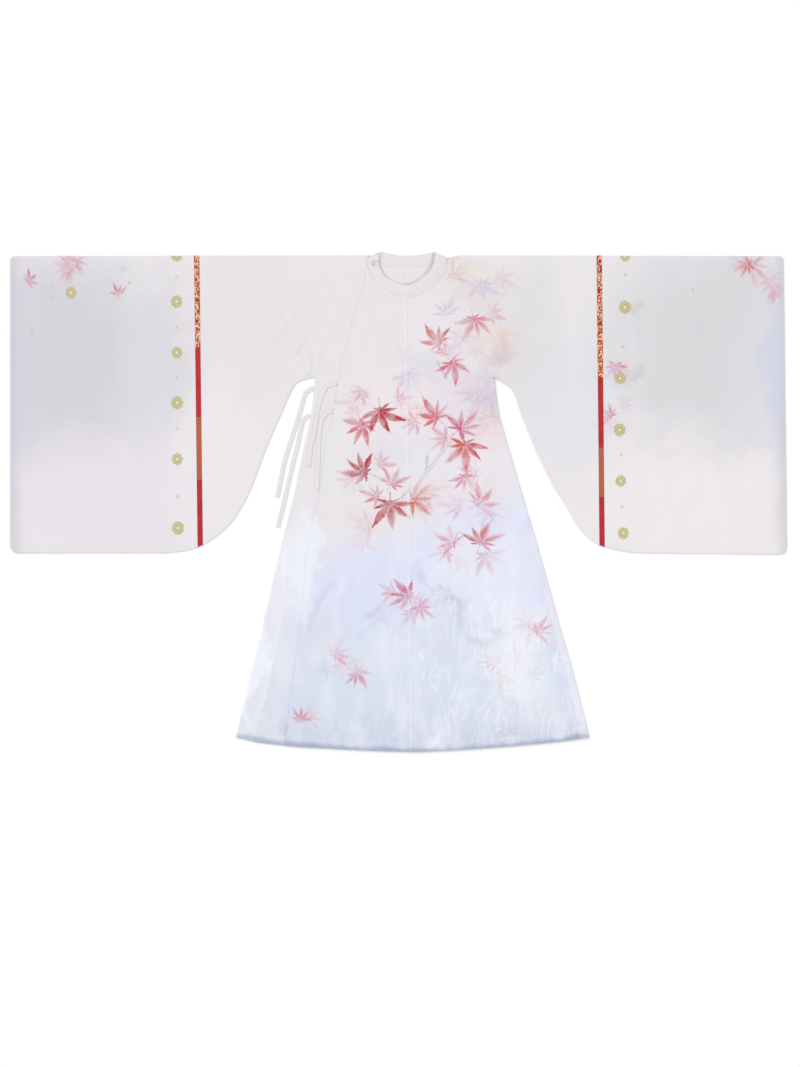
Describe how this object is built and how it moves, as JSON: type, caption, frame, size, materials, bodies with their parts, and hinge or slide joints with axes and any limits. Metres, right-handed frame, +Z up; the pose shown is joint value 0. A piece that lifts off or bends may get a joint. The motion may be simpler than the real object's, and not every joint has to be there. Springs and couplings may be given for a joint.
{
  "type": "round-collar hanfu robe laid flat",
  "caption": "Wide-sleeved round-collar robe laid flat, front up: overlapping front tied at the right side, side wings, woven sleeve bands, open neck and cuffs.",
  "frame": {"origin": "on the resting plane, below the middle of the bounding box", "axes": "+X from cuff to cuff towards the wearer's left, +Y from hem to collar, +Z up out of the laid front"},
  "size_m": [2.095, 1.3495, 0.011],
  "materials": {
    "collar": "matt woven cloth",
    "frog_knot": "matt woven cloth",
    "frog_loop": "matt woven cloth",
    "left_body": "matt woven cloth",
    "left_outer_sleeve": "matt woven cloth",
    "left_sleeve_band": "matt woven cloth",
    "left_wing": "matt woven cloth",
    "overlap": "matt woven cloth",
    "right_body": "matt woven cloth",
    "right_outer_sleeve": "matt woven cloth",
    "right_sleeve_band": "matt woven cloth",
    "right_wing": "matt woven cloth",
    "tie_overlap_lower": "matt woven cloth",
    "tie_overlap_upper": "matt woven cloth",
    "tie_side_lower": "matt woven cloth",
    "tie_side_upper": "matt woven cloth",
    "underlap": "matt woven cloth"
  },
  "bodies": {
    "root": {"collar": "collar", "frog_knot": "frog_knot", "frog_loop": "frog_loop", "left_body": "left_body", "left_outer_sleeve": "left_outer_sleeve", "left_sleeve_band": "left_sleeve_band", "left_wing": "left_wing", "overlap": "overlap", "right_body": "right_body", "right_outer_sleeve": "right_outer_sleeve", "right_sleeve_band": "right_sleeve_band", "right_wing": "right_wing", "tie_overlap_lower": "tie_overlap_lower", "tie_overlap_upper": "tie_overlap_upper", "tie_side_lower": "tie_side_lower", "tie_side_upper": "tie_side_upper", "underlap": "underlap"}
  },
  "joints": []
}
